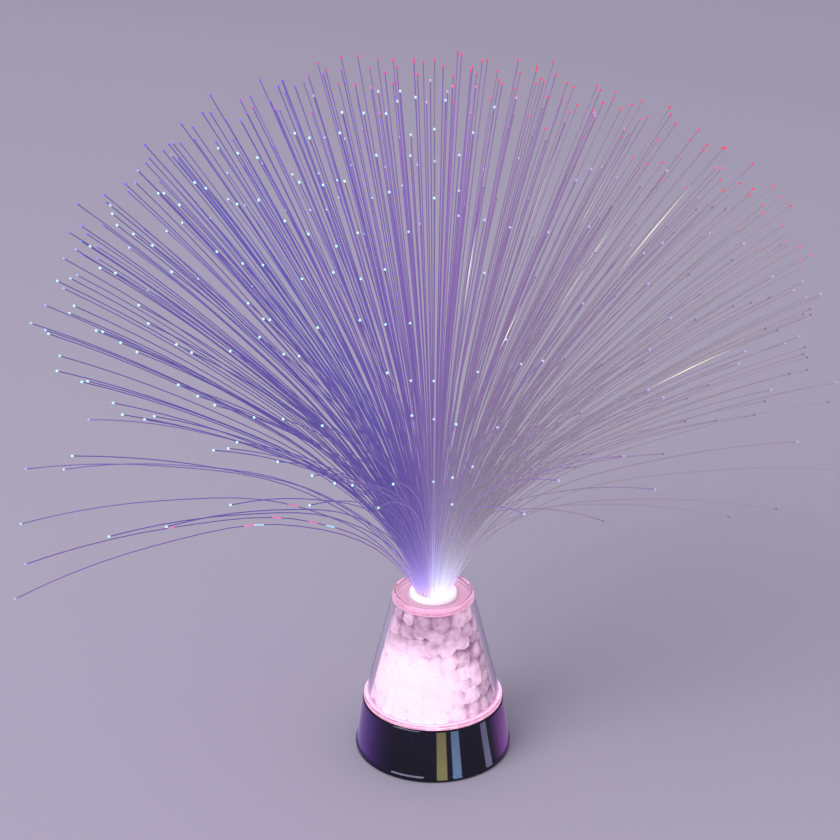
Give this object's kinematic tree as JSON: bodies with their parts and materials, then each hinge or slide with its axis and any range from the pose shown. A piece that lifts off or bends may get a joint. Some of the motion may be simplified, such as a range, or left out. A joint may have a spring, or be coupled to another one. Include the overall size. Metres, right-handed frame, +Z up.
{
  "type": "fibre optic lamp",
  "caption": "Battery table lamp: chrome drum base, clear cone filled with crystal chips, and a plug-in bundle of optical fibres that spread into a dome.",
  "frame": {"origin": "centre of the foot, on the surface the lamp stands on", "axes": "+Z up, through the fibre bundle; -Y is the front, away from the switch; +X to the right"},
  "size_m": [0.3821, 0.3284, 0.3402],
  "materials": {
    "chrome_plating": "dark mirror chrome over moulded plastic",
    "dark_plastic": "fine moulded grain",
    "screw_steel": "zinc plated",
    "foot_rubber": "matt rubber",
    "cell_jacket": "printed foil jacket, bare colour bands",
    "contact_nickel": "nickel plated spring steel",
    "board_laminate": "green solder mask on glass-fibre board",
    "led_epoxy": "water-clear epoxy, lit",
    "white_plastic": "white reflector plastic",
    "chip_plastic": "black moulding compound",
    "capacitor_can": "sleeved can",
    "switch_case": "stamped steel",
    "knob_plastic": "moulded",
    "red_sleeve": "PVC sleeve",
    "black_sleeve": "PVC sleeve",
    "white_sleeve": "PVC sleeve",
    "clear_acrylic": "polished clear acrylic",
    "crystal_bright": "clear acrylic chips, lit from below",
    "crystal_dim": "clear acrylic chips, dimly lit",
    "frosted_plastic": "pale translucent plastic, lit",
    "fibre_red": "plastic optical fibre, lit",
    "fibre_magenta": "plastic optical fibre, lit",
    "fibre_violet": "plastic optical fibre, lit"
  },
  "bodies": {
    "lamp": {"base_shell": "chrome_plating", "bottom_cover": "dark_plastic", "cover_screws": "screw_steel", "rubber_feet": "foot_rubber", "battery_1": "cell_jacket", "battery_2": "cell_jacket", "battery_3": "cell_jacket", "contact_plates": "contact_nickel", "contact_springs": "contact_nickel", "led_board": "board_laminate", "board_screws": "screw_steel", "centre_led": "led_epoxy", "side_leds": "led_epoxy", "reflector_cup": "white_plastic", "control_chip": "chip_plastic", "resistors": "chip_plastic", "capacitor": "capacitor_can", "switch_body": "switch_case", "red_wire": "red_sleeve", "black_wire": "black_sleeve", "switch_wire": "white_sleeve", "cone_floor": "clear_acrylic", "crystal_cone": "clear_acrylic", "light_tube": "clear_acrylic", "crystals_lower": "crystal_bright", "crystals_middle": "crystal_bright", "crystals_upper": "crystal_dim", "fibre_socket": "clear_acrylic"},
    "knob": {"switch_knob": "knob_plastic"},
    "door": {"battery_door": "dark_plastic"},
    "spray": {"fibre_plug": "frosted_plastic", "fibres_inner": "fibre_red", "fibres_middle": "fibre_magenta", "fibres_outer": "fibre_violet"}
  },
  "joints": [
    {"name": "switch_slide", "type": "slide", "parent": "lamp", "child": "knob", "axis": [1, 0, 0], "range_m": [0, 0.003]},
    {"name": "door_hinge", "type": "hinge", "parent": "lamp", "child": "door", "pos_m": [-0.0253, 0, 0.0018], "axis": [0, 1, 0], "range_deg": [0, 75]},
    {"name": "spray_lift", "type": "slide", "parent": "lamp", "child": "spray", "axis": [0, 0, 1], "range_m": [0, 0.04]}
  ]
}
